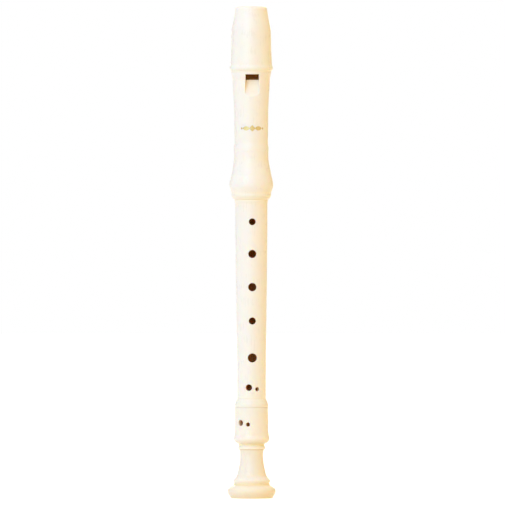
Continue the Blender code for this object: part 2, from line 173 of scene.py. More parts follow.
def trimmed(line, distance):
    """line without its first distance millimetres."""
    left = distance
    for i in range(len(line) - 1):
        span = float(np.linalg.norm(line[i + 1] - line[i]))
        if span >= left and span > 0:
            return [line[i] + (line[i + 1] - line[i]) * (left / span)] + line[i + 1:]
        left -= span
    return line[-1:]


def thinned(line, tolerance=0.0035, longest=2.2):
    """Fewer points, more of them where the line bends."""
    keep = {0, len(line) - 1}
    stack = [(0, len(line) - 1)]
    while stack:
        i, j = stack.pop()
        if j <= i + 1:
            continue
        a, b = line[i], line[j]
        d = b - a
        n = np.linalg.norm(d)
        pts = np.array(line[i + 1:j]) - a
        off = np.abs(pts[:, 0] * d[1] - pts[:, 1] * d[0]) / n if n > 1e-9 else np.linalg.norm(pts, axis=1)
        k = int(np.argmax(off))
        if off[k] > tolerance or n > longest:
            m = i + 1 + (k if off[k] > tolerance else (j - i - 1) // 2)
            keep.add(m)
            stack += [(i, m), (m, j)]
    picked = [line[k] for k in sorted(keep)]
    out = [picked[0]]
    for a, b in zip(picked, picked[1:]):       # straight runs get rings too
        parts = max(1, int(math.ceil(np.linalg.norm(b - a) / longest)))
        out += [a + (b - a) * (s / parts) for s in range(1, parts + 1)]
    return out


def rounded_loop(items):
    """A closed line through items, with its corners rounded. The first item is a corner."""
    corners = [i for i, it in enumerate(items) if len(it) == 3]
    runs = []
    for a, b in zip(corners, corners[1:] + [corners[0] + len(items)]):
        runs.append(through([items[k % len(items)][:2] for k in range(a, b + 1)]))
    count = len(runs)
    cut_start, cut_end, arcs = [0.0] * count, [0.0] * count, [None] * count
    for i in range(count):                     # the corner where run i starts
        before, after = runs[i - 1], runs[i]
        radius = items[corners[i]][2]
        c = after[0]
        d1 = c - trimmed(before[::-1], min(0.15, 0.3 * length_of(before)))[0]
        d2 = trimmed(after, min(0.15, 0.3 * length_of(after)))[0] - c
        d1, d2 = d1 / np.linalg.norm(d1), d2 / np.linalg.norm(d2)
        turn = math.acos(max(-1.0, min(1.0, float(d1 @ d2))))
        if radius <= 0 or turn < 0.03:
            arcs[i] = []
            continue
        reach = min(radius * math.tan(turn / 2), 0.45 * length_of(before), 0.45 * length_of(after))
        cut_end[i - 1], cut_start[i] = reach, reach
        a, b = trimmed(before[::-1], reach)[0], trimmed(after, reach)[0]
        steps = max(2, int(math.ceil(math.degrees(turn) / 16)))
        arcs[i] = [(1 - s) ** 2 * a + 2 * s * (1 - s) * c + s * s * b
                   for s in [k / steps for k in range(1, steps)]]
    loop = []
    for i, run in enumerate(runs):
        loop += arcs[i]
        if cut_start[i]:
            run = trimmed(run, cut_start[i])
        if cut_end[i]:
            run = trimmed(run[::-1], cut_end[i])[::-1]
        line = thinned(run)
        loop += line if cut_end[i] else line[:-1]
        if not cut_end[i] and not arcs[(i + 1) % count] and cut_start[(i + 1) % count]:
            loop.append(line[-1])
    out = [loop[0]]
    for q in loop[1:]:
        if np.linalg.norm(q - out[-1]) > 0.004:
            out.append(q)
    if np.linalg.norm(out[-1] - out[0]) < 0.004:
        out.pop()
    return out


def radius_at(table):
    """r(z) along the outer side of a table whose heights fall."""
    pts = [it[:2] for it in table]
    line = np.array(through(pts, 0.05))
    order = np.argsort(line[:, 1], kind="stable")
    zs, rs = line[order, 1], line[order, 0]
    return lambda z: np.interp(z, zs, rs)


# -------------------------------------------------------------- mesh helpers
def new_object(name, bm, mats=()):
    bmesh.ops.recalc_face_normals(bm, faces=bm.faces)
    mesh = bpy.data.meshes.new(name)
    bm.to_mesh(mesh)
    bm.free()
    obj = bpy.data.objects.new(name, mesh)
    bpy.context.scene.collection.objects.link(obj)
    for m in mats:
        mesh.materials.append(m)
    return obj


def grid_object(name, rings, closed, caps=False, mats=()):
    """Quads between rings of points, in millimetres; closed joins last to first."""
    bm = bmesh.new()
    rows = [[bm.verts.new(Vector(p) * MM) for p in ring] for ring in rings]
    n = len(rows[0])
    pairs = list(zip(rows, rows[1:]))
    if closed:
        pairs.append((rows[-1], rows[0]))
    for a, b in pairs:
        for i in range(n):
            j = (i + 1) % n
            bm.faces.new((a[i], a[j], b[j], b[i]))
    if caps:
        bm.faces.new(rows[0])
        bm.faces.new(rows[-1])
    return new_object(name, bm, mats)


def circle(r, z, sides=SIDES, low=None, phase=0.0):
    out = []
    for i in range(sides):
        t = 2 * math.pi * (i + phase) / sides
        x, y = r * math.sin(t), -r * math.cos(t)
        if low is not None and y < low:
            y = low
        out.append((x, y, z))
    return out


def turned(name, items, mats, low=None, sides=SIDES):
    """A hollow turned piece; low(r, z) is the nearest its bore comes to the front."""
    rings = [circle(r, z, sides, low(r, z) if low else None) for r, z in rounded_loop(items)]
    return grid_object(name, rings, True, mats=mats)


def boolean(obj, others, operation="DIFFERENCE"):
    """Cuts obj for good, and takes the cutters away."""
    for other in others:
        mod = obj.modifiers.new("cut", "BOOLEAN")
        mod.operation = operation
        mod.solver = "EXACT"
        mod.object = other
    bpy.context.view_layer.update()
    graph = bpy.context.evaluated_depsgraph_get()
    mesh = bpy.data.meshes.new_from_object(obj.evaluated_get(graph))
    old = obj.data
    mats = list(old.materials)
    obj.modifiers.clear()
    obj.data = mesh
    mesh.name = old.name
    mesh.materials.clear()
    for m in mats:
        mesh.materials.append(m)
    bpy.data.meshes.remove(old)
    for other in others:
        data = other.data
        bpy.data.objects.remove(other, do_unlink=True)
        bpy.data.meshes.remove(data)
    bm = bmesh.new()
    bm.from_mesh(mesh)
    for f in bm.faces:
        f.material_index = 0
    bmesh.ops.remove_doubles(bm, verts=bm.verts, dist=2e-7)
    bmesh.ops.dissolve_degenerate(bm, edges=bm.edges, dist=1e-7)
    bm.to_mesh(mesh)
    bm.free()


def finish_shading(obj, angle=24.0):
    mesh = obj.data
    mesh.polygons.foreach_set("use_smooth", [True] * len(mesh.polygons))
    mesh.set_sharp_from_angle(angle=math.radians(angle))


def hole_cutter(radius_of, z0, diameter, angle, inner, soft=0.35, sides=56):
    """A drill whose lip follows the tube's curve and rounds the edge of the hole."""
    r = diameter / 2
    a = math.radians(angle)
    out = np.array([math.sin(a), -math.cos(a), 0.0])
    side = np.array([math.cos(a), math.sin(a), 0.0])
    psi0 = math.radians(28)
    rings = []

    def ring(rho, drop):
        pts = []
        for k in range(sides):
            t = 2 * math.pi * k / sides
            u, w = rho * math.cos(t), z0 + rho * math.sin(t)
            skin = math.sqrt(max(0.0, float(radius_of(w)) ** 2 - u * u))
            p = out * (skin - drop) + side * u
            pts.append((p[0], p[1], w))
        return pts

    lip = r + soft * (1 - math.sin(psi0))
    rings.append(ring(lip + 0.7 * math.cos(psi0), -0.7 * math.sin(psi0) - 1.2))
    rings.append(ring(lip + 0.7 * math.cos(psi0), -0.7 * math.sin(psi0)))
    steps = 5
    for k in range(steps + 1):
        psi = psi0 + (math.pi / 2 - psi0) * k / steps
        rings.append(ring(r + soft * (1 - math.sin(psi)), soft * (math.cos(psi0) - math.cos(psi))))
    flat = []
    for k in range(sides):
        t = 2 * math.pi * k / sides
        p = out * inner + side * (r * math.cos(t))
        flat.append((p[0], p[1], z0 + r * math.sin(t)))
    rings.append(flat)
    return grid_object("drill", rings, False, caps=True)


# ----------------------------------------------------------------- materials
def node(tree, kind, **values):
    n = tree.nodes.new(kind)
    for key, value in values.items():
        setattr(n, key, value)
    return n


def plastic(name, base, warm, roughness=0.3, subsurface=0.45, peel=0.024):
    """Moulded ivory plastic: faint mottling, fine scratches, a trace of orange peel."""
    mat = bpy.data.materials.new(name)
    mat.use_nodes = True
    tree = mat.node_tree
    shader = tree.nodes["Principled BSDF"]
    link = tree.links.new
    coords = node(tree, "ShaderNodeTexCoord")

    cloud = node(tree, "ShaderNodeTexNoise")
    cloud.inputs["Scale"].default_value = 70.0
    cloud.inputs["Detail"].default_value = 4.0
    cloud.inputs["Roughness"].default_value = 0.55
    link(coords.outputs["Object"], cloud.inputs["Vector"])
    ramp = node(tree, "ShaderNodeValToRGB")
    ramp.color_ramp.elements[0].position = 0.32
    ramp.color_ramp.elements[0].color = (*[c * 0.988 for c in base], 1.0)
    ramp.color_ramp.elements[1].position = 0.7
    ramp.color_ramp.elements[1].color = (*[min(1.0, c * 1.008) for c in base], 1.0)
    link(cloud.outputs["Fac"], ramp.inputs["Fac"])

    speck = node(tree, "ShaderNodeTexNoise")
    speck.inputs["Scale"].default_value = 900.0
    speck.inputs["Detail"].default_value = 3.0
    link(coords.outputs["Object"], speck.inputs["Vector"])
    tone = node(tree, "ShaderNodeMapRange")
    tone.inputs["From Min"].default_value = 0.3
    tone.inputs["From Max"].default_value = 0.7
    tone.inputs["To Min"].default_value = 0.0
    tone.inputs["To Max"].default_value = 0.05
    link(speck.outputs["Fac"], tone.inputs["Value"])
    grain = node(tree, "ShaderNodeMix", data_type="RGBA")
    grain.inputs[7].default_value = (*warm, 1.0)
    link(tone.outputs["Result"], grain.inputs[0])
    link(ramp.outputs["Color"], grain.inputs[6])

    # painted shade: hollows, seams and recesses are tinted warmer than the crowns, where the shade falls
    hollow = node(tree, "ShaderNodeAttribute", attribute_name="hollow")
    painted_shade = node(tree, "ShaderNodeMix", data_type="RGBA")
    painted_shade.inputs[7].default_value = (*warm, 1.0)
    link(hollow.outputs["Fac"], painted_shade.inputs[0])
    link(grain.outputs[2], painted_shade.inputs[6])

    # painted glow and painted shade: by depth the holes are tinted amber and the bore brown, standing in for
    # light that soaks through the wall and the shade inside
    inside = node(tree, "ShaderNodeAttribute", attribute_name="inside")
    amber = node(tree, "ShaderNodeValToRGB")
    amber.color_ramp.elements[0].position = 0.15
    amber.color_ramp.elements[0].color = (*SHALLOW, 1.0)
    amber.color_ramp.elements[1].position = 0.9
    amber.color_ramp.elements[1].color = (*DEEP, 1.0)
    amber.color_ramp.elements.new(0.44).color = (*GLOW, 1.0)
    link(inside.outputs["Fac"], amber.inputs["Fac"])
    steep = node(tree, "ShaderNodeMath", operation="MULTIPLY", use_clamp=True)
    steep.inputs[1].default_value = 5.0
    link(inside.outputs["Fac"], steep.inputs[0])
    depth = node(tree, "ShaderNodeMix", data_type="RGBA")
    link(steep.outputs["Value"], depth.inputs[0])
    link(painted_shade.outputs[2], depth.inputs[6])
    link(amber.outputs["Color"], depth.inputs[7])

    # painted light: beside the seams and on the ramp's thin floor the colour is paled, lifting the shade there
    edge = node(tree, "ShaderNodeAttribute", attribute_name="edge")
    pale = node(tree, "ShaderNodeMix", data_type="RGBA")
    pale.inputs[7].default_value = (*PALE, 1.0)
    link(edge.outputs["Fac"], pale.inputs[0])
    link(depth.outputs[2], pale.inputs[6])
    link(pale.outputs[2], shader.inputs["Base Color"])

    # fine scratches along the tube, from wiping and from its bag
    stretch = node(tree, "ShaderNodeMapping")
    stretch.inputs["Scale"].default_value = (2200.0, 2200.0, 60.0)
    link(coords.outputs["Object"], stretch.inputs["Vector"])
    scratch = node(tree, "ShaderNodeTexNoise")
    scratch.inputs["Scale"].default_value = 1.0
    scratch.inputs["Detail"].default_value = 2.0
    link(stretch.outputs["Vector"], scratch.inputs["Vector"])
    blotch = node(tree, "ShaderNodeTexNoise")
    blotch.inputs["Scale"].default_value = 160.0
    blotch.inputs["Detail"].default_value = 3.0
    link(coords.outputs["Object"], blotch.inputs["Vector"])
    sum_rough = node(tree, "ShaderNodeMath", operation="ADD")
    link(scratch.outputs["Fac"], sum_rough.inputs[0])
    link(blotch.outputs["Fac"], sum_rough.inputs[1])
    rough = node(tree, "ShaderNodeMapRange")
    rough.inputs["From Min"].default_value = 0.7
    rough.inputs["From Max"].default_value = 1.3
    rough.inputs["To Min"].default_value = roughness - 0.05
    rough.inputs["To Max"].default_value = roughness + 0.06
    link(sum_rough.outputs["Value"], rough.inputs["Value"])
    link(rough.outputs["Result"], shader.inputs["Roughness"])

    orange = node(tree, "ShaderNodeTexNoise")
    orange.inputs["Scale"].default_value = 420.0
    orange.inputs["Detail"].default_value = 2.0
    link(coords.outputs["Object"], orange.inputs["Vector"])
    both = node(tree, "ShaderNodeMath", operation="MULTIPLY_ADD")
    both.inputs[1].default_value = 0.06
    link(scratch.outputs["Fac"], both.inputs[0])
    link(orange.outputs["Fac"], both.inputs[2])
    bump = node(tree, "ShaderNodeBump")
    bump.inputs["Strength"].default_value = peel
    bump.inputs["Distance"].default_value = 0.0002
    link(both.outputs["Value"], bump.inputs["Height"])
    link(bump.outputs["Normal"], shader.inputs["Normal"])

    # the bore is as moulded, without the outside's gloss
    dull = node(tree, "ShaderNodeMapRange")
    dull.inputs["From Max"].default_value = 0.3
    dull.inputs["To Min"].default_value = 0.5
    dull.inputs["To Max"].default_value = 0.06
    link(inside.outputs["Fac"], dull.inputs["Value"])
    link(dull.outputs["Result"], shader.inputs["Specular IOR Level"])
    shader.inputs["Metallic"].default_value = 0.0
    shader.inputs["IOR"].default_value = 1.53
    # light that soaks in beside a seam would be lost down it, so it soaks in less there
    ending = node(tree, "ShaderNodeAttribute", attribute_name="ending")
    soak = node(tree, "ShaderNodeMapRange")
    soak.inputs["To Min"].default_value = subsurface
    soak.inputs["To Max"].default_value = 0.0
    link(ending.outputs["Fac"], soak.inputs["Value"])
    shader.inputs["Subsurface Weight"].default_value = subsurface
    link(soak.outputs["Result"], shader.inputs["Subsurface Weight"])
    shader.inputs["Subsurface Radius"].default_value = (1.0, 0.6, 0.28)
    shader.inputs["Subsurface Scale"].default_value = 0.003
    return mat


def rubber(name, base):
    """Pale silicone with a film of joint grease."""
    mat = bpy.data.materials.new(name)
    mat.use_nodes = True
    tree = mat.node_tree
    shader = tree.nodes["Principled BSDF"]
    link = tree.links.new
    coords = node(tree, "ShaderNodeTexCoord")
    film = node(tree, "ShaderNodeTexNoise")
    film.inputs["Scale"].default_value = 450.0
    film.inputs["Detail"].default_value = 3.0
    link(coords.outputs["Object"], film.inputs["Vector"])
    ramp = node(tree, "ShaderNodeValToRGB")
    ramp.color_ramp.elements[0].position = 0.35
    ramp.color_ramp.elements[0].color = (*[c * 0.9 for c in base], 1.0)
    ramp.color_ramp.elements[1].position = 0.65
    ramp.color_ramp.elements[1].color = (*base, 1.0)
    link(film.outputs["Fac"], ramp.inputs["Fac"])
    link(ramp.outputs["Color"], shader.inputs["Base Color"])
    rough = node(tree, "ShaderNodeMapRange")
    rough.inputs["To Min"].default_value = 0.3
    rough.inputs["To Max"].default_value = 0.62
    link(film.outputs["Fac"], rough.inputs["Value"])
    link(rough.outputs["Result"], shader.inputs["Roughness"])
    bump = node(tree, "ShaderNodeBump")
    bump.inputs["Strength"].default_value = 0.12
    bump.inputs["Distance"].default_value = 0.0001
    link(film.outputs["Fac"], bump.inputs["Height"])
    link(bump.outputs["Normal"], shader.inputs["Normal"])
    shader.inputs["IOR"].default_value = 1.42
    shader.inputs["Subsurface Weight"].default_value = 0.2
    shader.inputs["Subsurface Radius"].default_value = (1.0, 0.8, 0.6)
    shader.inputs["Subsurface Scale"].default_value = 0.001
    return mat


def foil(name):
    """Hot-stamped gold foil, thin and slightly broken where it has rubbed."""
    mat = bpy.data.materials.new(name)
    mat.use_nodes = True
    tree = mat.node_tree
    shader = tree.nodes["Principled BSDF"]
    link = tree.links.new
    coords = node(tree, "ShaderNodeTexCoord")
    grain = node(tree, "ShaderNodeTexNoise")
    grain.inputs["Scale"].default_value = 1500.0
    grain.inputs["Detail"].default_value = 4.0
    link(coords.outputs["Object"], grain.inputs["Vector"])
    ramp = node(tree, "ShaderNodeValToRGB")
    ramp.color_ramp.elements[0].position = 0.3
    ramp.color_ramp.elements[0].color = (0.50, 0.37, 0.14, 1.0)
    ramp.color_ramp.elements[1].position = 0.68
    ramp.color_ramp.elements[1].color = (0.72, 0.57, 0.27, 1.0)
    link(grain.outputs["Fac"], ramp.inputs["Fac"])
    link(ramp.outputs["Color"], shader.inputs["Base Color"])
    rough = node(tree, "ShaderNodeMapRange")
    rough.inputs["To Min"].default_value = 0.26
    rough.inputs["To Max"].default_value = 0.46
    link(grain.outputs["Fac"], rough.inputs["Value"])
    link(rough.outputs["Result"], shader.inputs["Roughness"])
    bump = node(tree, "ShaderNodeBump")
    bump.inputs["Strength"].default_value = 0.15
    bump.inputs["Distance"].default_value = 0.00004
    link(grain.outputs["Fac"], bump.inputs["Height"])
    link(bump.outputs["Normal"], shader.inputs["Normal"])
    shader.inputs["Metallic"].default_value = 0.85
    return mat


IVORY = (0.90, 0.865, 0.83)
# the rings' copy of the ivory has more red and less blue: painted light that lifts their shaded flanks
RING_IVORY_PAINTED_LIGHT = (0.925, 0.855, 0.775)       # the glued rings are a shade warmer
# WARM tints the random specks and the painted shade in the hollows
WARM = (1.0, 0.81, 0.47)
# PALE is painted light
PALE = (1.0, 0.945, 0.865)
# SHALLOW, GLOW and DEEP: painted glow down the holes and painted shade in the bore
SHALLOW = (0.58, 0.34, 0.16)
GLOW = (0.96, 0.68, 0.44)
DEEP = (0.79, 0.44, 0.125)
ivory_head = plastic("ivory_head", IVORY, WARM)
ivory_middle = plastic("ivory_middle", IVORY, WARM)
ivory_foot = plastic("ivory_foot", (0.915, 0.855, 0.79), WARM)
ivory_bell = plastic("ivory_bell", (0.885, 0.82, 0.77), (0.88, 0.75, 0.46))
ivory_ring = plastic("ivory_ring", RING_IVORY_PAINTED_LIGHT, WARM)
ivory_block = plastic("ivory_block", (0.83, 0.73, 0.56), WARM, roughness=0.42, peel=0.08)
seal_rubber = rubber("seal_rubber", (0.74, 0.71, 0.64))
gold_foil = foil("gold_foil")


# ---------------------------------------------------------------------- head
def cut_line(z):
    """How far back the beak reaches at a height, from the concave cut."""
    d = CUT_R ** 2 - (z - CUT_Z) ** 2
    return CUT_Y - math.sqrt(d) if d > 0 else 99.0


def beak_ring(z, radius, shrink, sides=176, k=1.5):
    """One section of the beak: a circle cut off at the back, with soft corners."""
    radius -= shrink
    back = cut_line(z) - shrink
    centre = min(0.0, 0.5 * (back - radius)) if back < radius + k else 0.0
    t = np.linspace(0, 2 * math.pi, 1440, endpoint=False)
    dx, dy = np.sin(t), -np.cos(t)
    lo, hi = np.zeros_like(t), np.full_like(t, 40.0)
    for _ in range(36):
        mid = 0.5 * (lo + hi)
        x, y = dx * mid, centre + dy * mid
        a = np.hypot(x, y) - radius
        b = y - back
        h = np.maximum(k - np.abs(a - b), 0.0) / k
        f = np.maximum(a, b) + h * h * k * 0.25
        lo = np.where(f < 0, mid, lo)
        hi = np.where(f < 0, hi, mid)
    x, y = dx * lo, centre + dy * lo
    x, y = np.append(x, x[0]), np.append(y, y[0])
    s = np.concatenate(([0.0], np.cumsum(np.hypot(np.diff(x), np.diff(y)))))
    at = np.linspace(0, s[-1], sides, endpoint=False)
    return [(float(p), float(q), z) for p, q in zip(np.interp(at, s, x), np.interp(at, s, y))]


def beak_solid(name):
    r_of = radius_at(BEAK[::-1])
    heights = list(np.arange(284.03, 291.0, 0.2)) + list(np.arange(291.0, 326.0, 0.5))
    tip, tall, inward = 326.0, 2.0, 1.4
    rings = [beak_ring(float(z), float(r_of(z)), 0.0) for z in heights]
    steps = 9
    for i in range(steps + 1):
        a = math.pi / 2 * i / steps
        z = tip + tall * math.sin(a)
        rings.append(beak_ring(z, float(r_of(z)), inward * (1 - math.cos(a))))
    return grid_object(name, rings, False, caps=True)


def windway_cutter(z0, z1, tip=False):
    """The windway's space: a slot that narrows towards the window."""
    rings = []
    corner = 0.22

    def slot(z, half, roof, floor=-5.2):
        pts = []
        for cx, cy, start in ((half - corner, floor - corner, 0), (-half + corner, floor - corner, 90),
                              (-half + corner, roof + corner, 180), (half - corner, roof + corner, 270)):
            for k in range(5):
                t = math.radians(start + 22.5 * k)
                pts.append((cx + corner * math.cos(t), cy + corner * math.sin(t), z))
        return pts

    def at(z):
        f = (z - WINDOW_TOP) / (328.0 - WINDOW_TOP)
        return WINDOW_HALF + 0.5 * f, ROOF_Y + (ROOF_TIP_Y - ROOF_Y) * f

    half, roof = at(WINDOW_TOP)
    rings.append(slot(z0, half + 0.001, roof - 0.45))
    rings.append(slot(WINDOW_TOP - 0.02, half + 0.001, roof - 0.42))
    rings.append(slot(WINDOW_TOP + 0.4, half, roof))
    last = z1 if not tip else 327.35
    for i in range(1, 13):
        z = WINDOW_TOP + 0.4 + (last - WINDOW_TOP - 0.4) * i / 12
        rings.append(slot(z, *at(z)))
    if tip:
        half, roof = at(328.0)
        rings.append(slot(327.75, half + 0.12, roof - 0.14, -5.1))
        rings.append(slot(328.05, half + 0.34, roof - 0.4, -5.0))
        rings.append(slot(329.0, half + 0.9, roof - 1.2, -4.6))
    return grid_object("windway_cutter", rings, False, caps=True)


def core(name, items, low=None):
    """A solid turned cutter with closed ends."""
    rings = [circle(r, z, SIDES, low if (low is not None and r < 8) else None) for r, z in items]
    return grid_object(name, rings, False, caps=True)


beak = beak_solid("beak_shell")
beak.data.materials.append(ivory_head)
boolean(beak, [core("beak_core", [(7.04, 331.0), (7.04, 294.06), (10.24, 294.06), (10.24, 283.0)], low=-6.4)])
boolean(beak, [windway_cutter(281.0, 329.0, tip=True)])
finish_shading(beak)

block = grid_object("fipple_block", [circle(6.99, z, SIDES, low=y) for z, y in (
    (331.0, -4.6), (328.0, -5.25), (327.4, FLOOR_Y), (283.15, FLOOR_Y), (282.62, -5.1))],
    False, caps=True, mats=[ivory_block])
boolean(block, [beak_solid("beak_form")], "INTERSECT")
finish_shading(block)


def head_low(r, z):
    if r > 8.0 or z < LABIUM_FLAT_END:
        return None
    if z > WINDOW_TOP - 0.35:
        return -6.4
    f = min(1.0, (z - LABIUM_FLAT_END) / (WINDOW_LOW - LABIUM_FLAT_END))
    return -(6.7 + (-LABIUM_UNDER_Y - 6.7) * f)


barrel_r = radius_at([it for it in BARREL if it[1] <= 284.0 and it[0] > 11.02])


def skin_y(x, z):
    """The barrel's front skin above a point (x, z)."""
    r = float(barrel_r(min(max(z, 210.0), 284.0)))
    return -math.sqrt(max(1.0, r * r - x * x))


LIP = 0.4                   # rounding of the window's and the ramp's edges
LIP_PSI = math.radians(26)


def ramp_cutter():
    """The ramp below the window: a sloping floor between two low walls."""
    slope = (RAMP_END_Y - LABIUM_Y) / (RAMP_END - WINDOW_LOW)
    rings = []
    for z in list(np.linspace(279.5, 279.0, 3)) + list(np.linspace(278.7, 263.5, 44)):
        z = float(z)
        half = WINDOW_HALF + (RAMP_END_HALF - WINDOW_HALF) * (WINDOW_LOW - z) / (WINDOW_LOW - RAMP_END)
        floor = LABIUM_Y + slope * (z - WINDOW_LOW)
        right = []
        for k in range(5):                   # soft corner between floor and wall
            t = math.radians(90.0 * k / 4)
            right.append((half - 0.35 + 0.35 * math.sin(t), floor - 0.35 + 0.35 * math.cos(t)))
        top = skin_y(half, z)
        for k in range(7):                   # rounded edge at the skin
            psi = math.pi / 2 - (math.pi / 2 - LIP_PSI) * k / 6
            x = half + LIP * (1 - math.sin(psi))
            y = skin_y(x, z) + LIP * (math.cos(LIP_PSI) - math.cos(psi))
            right.append((x, min(y, floor - 0.36 - 0.001 * k)))
        x, y = right[-1]
        right.append((x + 0.8 * math.cos(LIP_PSI), min(y, top) - 1.2))
        right.append((x + 0.8 * math.cos(LIP_PSI), -18.0))
        middle = [(half - 0.35 - (half - 0.35) * 2 * k / 10, floor) for k in range(1, 10)]
        ring = [(p, q, z) for p, q in right[::-1]]
        ring += [(p, q, z) for p, q in middle]
        ring += [(-p, q, z) for p, q in right]
        rings.append(ring)
    return grid_object("ramp_cutter", rings, False, caps=True)


def window_cutter():
    """The window, with its edge rounded where it meets the skin."""
    def outline(grow):
        x1, z0, z1, c = WINDOW_HALF + grow, WINDOW_LOW, WINDOW_TOP + grow, 0.3 + grow
        pts = []
        for k in range(9):
            pts.append((-x1 + 2 * x1 * k / 8, z0))
        for k in range(1, 6):
            pts.append((x1, z0 + (z1 - c - z0) * k / 6))
        for k in range(6):
            t = math.radians(90.0 * k / 5)
            pts.append((x1 - c + c * math.cos(t), z1 - c + c * math.sin(t)))
        for k in range(1, 8):
            pts.append((x1 - c - (2 * x1 - 2 * c) * k / 8, z1))
        for k in range(6):
            t = math.radians(90.0 + 90.0 * k / 5)
            pts.append((-x1 + c + c * math.cos(t), z1 - c + c * math.sin(t)))
        for k in range(1, 6):
            pts.append((-x1, z1 - c - (z1 - c - z0) * k / 6))
        return pts
    rings = []
    wide = LIP * (1 - math.sin(LIP_PSI))
    for grow, drop in ((wide + 0.75, -2.0), (wide + 0.75, -0.36)):
        rings.append([(x, skin_y(x, z) + drop, z) for x, z in outline(grow)])
    for k in range(7):
        psi = LIP_PSI + (math.pi / 2 - LIP_PSI) * k / 6
        grow = LIP * (1 - math.sin(psi))
        rings.append([(x, skin_y(x, z) + LIP * (math.cos(LIP_PSI) - math.cos(psi)), z)
                      for x, z in outline(grow)])
    rings.append([(x, -4.0, z) for x, z in outline(0.0)])
    return grid_object("window_cutter", rings, False, caps=True)


barrel = turned("head_tube", BARREL, [ivory_head], low=head_low)
boolean(barrel, [ramp_cutter()])
boolean(barrel, [window_cutter()])
boolean(barrel, [windway_cutter(281.2, 295.0)])
finish_shading(barrel)

head_ring = turned("head_ring", SOCKET_RING, [ivory_ring])
finish_shading(head_ring)


# -------------------------------------------------------------------- middle
middle_r = radius_at([it for it in MIDDLE if 66.0 < it[1] < 199.0 and it[0] > 9.0])
middle = turned("middle_tube", MIDDLE, [ivory_middle])
for z, diameter, angle in HOLES_MIDDLE:
    boolean(middle, [hole_cutter(middle_r, z, diameter, angle, 3.4)])
finish_shading(middle)


def seal_ring(name, z, centre, r):
    rings = [circle(centre + r * math.cos(t), z + r * math.sin(t), 96)
             for t in np.linspace(0, 2 * math.pi, 28, endpoint=False)]
    obj = grid_object(name, rings, True, mats=[seal_rubber])
    finish_shading(obj, 40)
    return obj


head_seals = [seal_ring("head_seal_ring_upper", 213.6, 8.42, 0.7),
              seal_ring("head_seal_ring_lower", 204.4, 8.42, 0.7)]
foot_seal = seal_ring("foot_seal_ring", 60.2, 7.42, 0.7)


# ---------------------------------------------------------------------- foot
foot_ring = turned("foot_ring", FOOT_RING, [ivory_ring])
finish_shading(foot_ring)
foot_r = radius_at([it for it in FOOT if 39.0 < it[1] < 60.6 and it[0] > 9.3])
foot = turned("foot_tube", FOOT, [ivory_foot])
for z, diameter, angle in HOLES_FOOT:
    boolean(foot, [hole_cutter(foot_r, z, diameter, angle, 3.2)])
finish_shading(foot)
bell = turned("bell_flare", BELL, [ivory_bell])
finish_shading(bell)


# ------------------------------------------------------------- gold ornament
def ornament():
    """A plain lozenge between tapering bars, stamped below the window."""
    zc = 246.6
    bm = bmesh.new()
    shapes = [(lambda u: 2.1 * (1 - abs(u) / 2.3), -2.3, 2.3, 0.0, 16)]
    for s in (-1, 1):
        shapes.append((lambda u: 1.4 * (1 - (u / 2.35) ** 2) ** 0.8, -2.35, 2.35, s * 4.15, 18))
        shapes.append((lambda u: 0.85 * (1 - abs(u) / 0.85), -0.85, 0.85, s * 7.45, 8))
    for height, u0, u1, centre, steps in shapes:
        columns = []
        for i in range(steps + 1):
            u = u0 + (u1 - u0) * i / steps
            h = max(0.03, float(height(u).real))
            top, low = [], []
            for j in range(5):
                w = zc + h * (j / 2.0 - 1.0)
                r = float(barrel_r(w))
                a = (centre + u) / r
                top.append(bm.verts.new(Vector(((r + 0.022) * math.sin(a), -(r + 0.022) * math.cos(a), w)) * MM))
                low.append(bm.verts.new(Vector(((r - 0.06) * math.sin(a), -(r - 0.06) * math.cos(a), w)) * MM))
            columns.append(top + low[::-1])
        for a, b in zip(columns, columns[1:]):
            for j in range(10):
                k = (j + 1) % 10
                bm.faces.new((a[j], a[k], b[k], b[j]))
        bm.faces.new(columns[0])
        bm.faces.new(columns[-1])
    obj = new_object("gold_ornament", bm, [gold_foil])
    finish_shading(obj, 40)
    return obj


mark = ornament()


# ------------------------------------------------- hollows, painted shade and painted light, for the materials
HEIGHTS = np.arange(-6.0, 334.0, 0.05)
OUTLINE = np.zeros_like(HEIGHTS)
for table in (BARREL, SOCKET_RING, MIDDLE, FOOT_RING, FOOT, BELL):
    loop = rounded_loop(table)
    for (r0, z0), (r1, z1) in zip(loop, loop[1:] + loop[:1]):
        if abs(z1 - z0) > 1e-6:
            lo, hi = np.searchsorted(HEIGHTS, (min(z0, z1), max(z0, z1)))
            r = r0 + (r1 - r0) * (HEIGHTS[lo:hi] - z0) / (z1 - z0)
            OUTLINE[lo:hi] = np.maximum(OUTLINE[lo:hi], r)
above = HEIGHTS > 284.06
OUTLINE[above] = radius_at(BEAK[::-1])(HEIGHTS[above])
OUTLINE[HEIGHTS < 0.0] = OUTLINE[np.searchsorted(HEIGHTS, 0.5)]


def smoothed(width):
    kernel = np.exp(-0.5 * (np.arange(-600, 601) * 0.05 / width) ** 2)
    padded = np.pad(OUTLINE, 600, mode="edge")
    return np.convolve(padded, kernel / kernel.sum(), "valid")


NEAR, FAR = smoothed(1.3), smoothed(8.0)


def points_of(mesh):
    """Every point's distance from the axis, its y and its height, in millimetres."""
    co = np.empty(len(mesh.vertices) * 3)
    mesh.vertices.foreach_get("co", co)
    co = co.reshape(-1, 3) / MM
    return np.hypot(co[:, 0], co[:, 1]), co[:, 1], co[:, 2]


def store(mesh, name, value):
    layer = mesh.attributes.new(name, "FLOAT", "POINT")
    layer.data.foreach_set("value", value.astype(np.float32))
